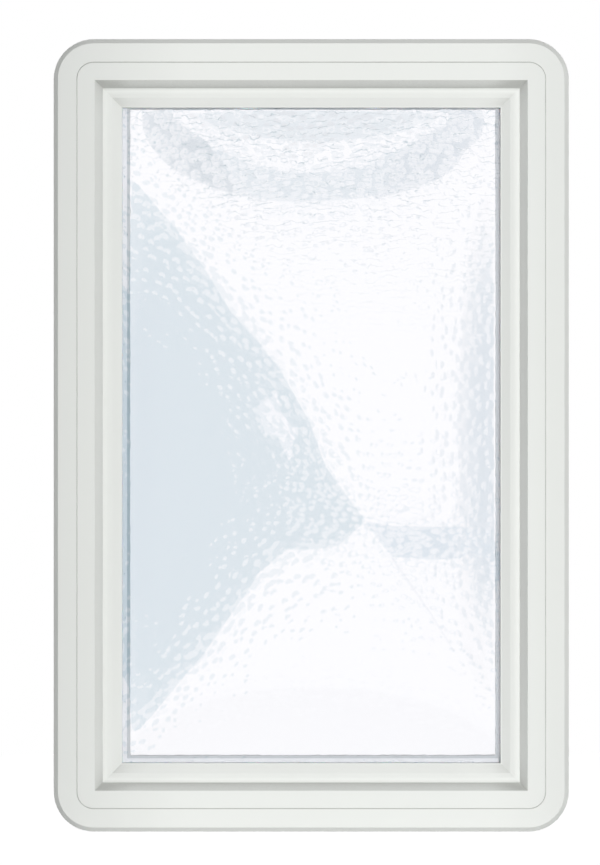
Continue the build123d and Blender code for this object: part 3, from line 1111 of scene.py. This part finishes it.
# %% Clear sealant
clear_sealant, tree, shader, output = new_material("clear sealant", (0.82, 0.88, 0.90))
tone = drifting_tone(tree, 70.0, 1.0, (0.86, 0.91, 0.93), (0.70, 0.77, 0.81))
join(tree, tone.outputs["Colour"], shader.inputs["Base Color"])
shader.inputs["Subsurface Weight"].default_value = 0.4
shader.inputs["Subsurface Scale"].default_value = 0.001
bubbles = use_group(tree, pits, Pits_per_metre=500.0, Share=0.2)
join(tree, stretch_range(tree, tone.outputs["Mask"], 0.2, 0.7, 0.22, 0.38), shader.inputs["Roughness"])
join(tree, add_bump(tree, bubbles.outputs["Height"], 0.06 * MM, 0.5), shader.inputs["Normal"])
bead = new_piece("sealant_bead", bead_builder, clear_sealant, "clear_sealant", "front_bead")
smooth_by_angle(bead, 50)

# %% [markdown]
# ## The clamping screws
# Eight long pan-head screws pass through the inner frame into posts on the outer one, and squeeze the door
# panel between them. From the side their shanks show in the gap. Each has a low domed head with a cross
# recess and a coarse plastic-cutting thread. A cylinder with a hemisphere would be quicker, but the recess
# and the thread are what the eye looks for. One mesh serves all eight.

# %% Screw sizes
head_radius = 4.2 * MM
head_seat = 50.2 * MM
head_height = 1.45 * MM
shank_radius = 1.6 * MM
thread_radius = 2.05 * MM
thread_pitch = 1.8 * MM
screw_tip = 10.0 * MM
cross_reach = 2.3 * MM
cross_half_width = 0.42 * MM
cross_depth = 1.1 * MM
cross_wall = 0.14 * MM
cross_end = 0.5 * MM
print("turns of thread on a screw:", round((head_seat - screw_tip) / thread_pitch))


# %% Shape of the head
def recess(x, z):
    """How deep the cross recess is at a point of the head."""
    near = min(abs(x), abs(z))
    far = max(abs(x), abs(z))
    side = min(max((cross_half_width - near) / cross_wall + 0.5, 0.0), 1.0)
    end = min(max((cross_reach - far) / cross_end, 0.0), 1.0)
    return cross_depth * side * end


def head_level(radius):
    """Height of the domed head above its seat."""
    t = min(radius / head_radius, 1.0)
    return head_height * (1 - 0.30 * t**2 - 0.55 * t**8)


# %% Rings and the skin between them
def add_ring(builder, radius, level, corners):
    """A ring of corners round the screw's axis."""
    return [
        builder.verts.new((radius * math.cos(a), level, radius * math.sin(a)))
        for a in (math.tau * k / corners for k in range(corners))
    ]


def skin_rings(builder, rings):
    """Faces between each ring and the next."""
    for ring, following in zip(rings, rings[1:]):
        for k in range(len(ring)):
            after = (k + 1) % len(ring)
            builder.faces.new((ring[k], ring[after], following[after], following[k]))


# %% Turn the head
head_corners = 72
head_rings = 24
screw_builder = bmesh.new()
rings = []
for step in range(1, head_rings + 1):
    radius = head_radius * step / head_rings
    ring = add_ring(screw_builder, radius, 0, head_corners)
    for vert in ring:
        vert.co.y = head_seat + head_level(radius) - recess(vert.co.x, vert.co.z)
    rings.append(ring)
rings.append(add_ring(screw_builder, head_radius, head_seat + 0.02 * MM, head_corners))
rings.append(add_ring(screw_builder, head_radius - 0.1 * MM, head_seat, head_corners))
rings.append(add_ring(screw_builder, thread_radius, head_seat, head_corners))
skin_rings(screw_builder, rings)
crown = screw_builder.verts.new((0, head_seat + head_level(0) - recess(0, 0), 0))
for k in range(head_corners):
    screw_builder.faces.new((crown, rings[0][(k + 1) % head_corners], rings[0][k]))
print("head in mm:", round(2 * head_radius / MM, 1), "wide and", round(head_height / MM, 2), "high")

# %% Cut the thread
shank_corners = 20
row_height = 0.2 * MM
taper = 3.0 * MM
tip_share = 0.25
plain_neck = 1.5 * MM
runout_length = 1.0 * MM
crest_half_width = 0.26
row_count = int((head_seat - screw_tip) / row_height)
shank = []
for row in range(row_count + 1):
    level = head_seat - (head_seat - screw_tip) * row / row_count
    ring = add_ring(screw_builder, 1.0, level, shank_corners)
    for k, vert in enumerate(ring):
        phase = (level / thread_pitch + k / shank_corners) % 1.0
        crest = max(0.0, 1 - abs(phase - 0.5) / crest_half_width)
        point = min((level - screw_tip) / taper, 1.0)
        runout = min(max((head_seat - plain_neck - level) / runout_length, 0.0), 1.0)
        radius = shank_radius + (thread_radius - shank_radius) * crest * runout
        radius *= tip_share + (1 - tip_share) * point
        vert.co.x *= radius
        vert.co.z *= radius
    shank.append(ring)
skin_rings(screw_builder, shank)
screw_builder.faces.new(shank[-1])
screw_builder.faces.new(shank[0])
print("shank in mm:", round((head_seat - screw_tip) / MM, 1), "long")

# %% Zinc plating
zinc, tree, shader, output = new_material("zinc plate", (0.62, 0.63, 0.65))
tone = drifting_tone(tree, 500.0, 1.0, (0.66, 0.67, 0.69), (0.50, 0.51, 0.50))
rubbed = use_group(tree, wear, Width=0.0003, Strength=4.0)
bright = blend_colours(tree, rubbed.outputs["Mask"], tone.outputs["Colour"], (0.78, 0.79, 0.80))
join(tree, bright, shader.inputs["Base Color"])
shader.inputs["Metallic"].default_value = 1.0
join(tree, stretch_range(tree, tone.outputs["Mask"], 0.2, 0.7, 0.26, 0.42), shader.inputs["Roughness"])
plated = use_group(tree, grain, Grains_per_metre=4000.0, Unevenness=0.4)
join(tree, add_bump(tree, plated.outputs["Height"], 0.01 * MM, 0.5), shader.inputs["Normal"])
print(zinc.name, "has", len(tree.nodes), "nodes")

# %% Set the eight screws
side_places = [(x, z) for x in (-138.5, 138.5) for z in (-165.0, 0.0, 165.0)]
end_places = [(0.0, -227.4), (0.0, 227.4)]
turn = 37
bmesh.ops.recalc_face_normals(screw_builder, faces=screw_builder.faces)
screw_mesh = bpy.data.meshes.new("clamping screw")
screw_builder.to_mesh(screw_mesh)
screw_builder.free()
screw_mesh.materials.append(zinc)
screw_mesh.shade_smooth()
screw_mesh.set_sharp_from_angle(angle=math.radians(35))
for number, (x, z) in enumerate(side_places + end_places, 1):
    screw = bpy.data.objects.new(f"clamping_screw_{number}", screw_mesh)
    screw.location = (x * MM, 0, window_middle.z + z * MM)
    screw.rotation_euler.y = math.radians(turn * number)
    scene.collection.objects.link(screw)
    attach(screw, "root")
print("one screw has", sum(len(p.vertices) - 2 for p in screw_mesh.polygons), "triangles")
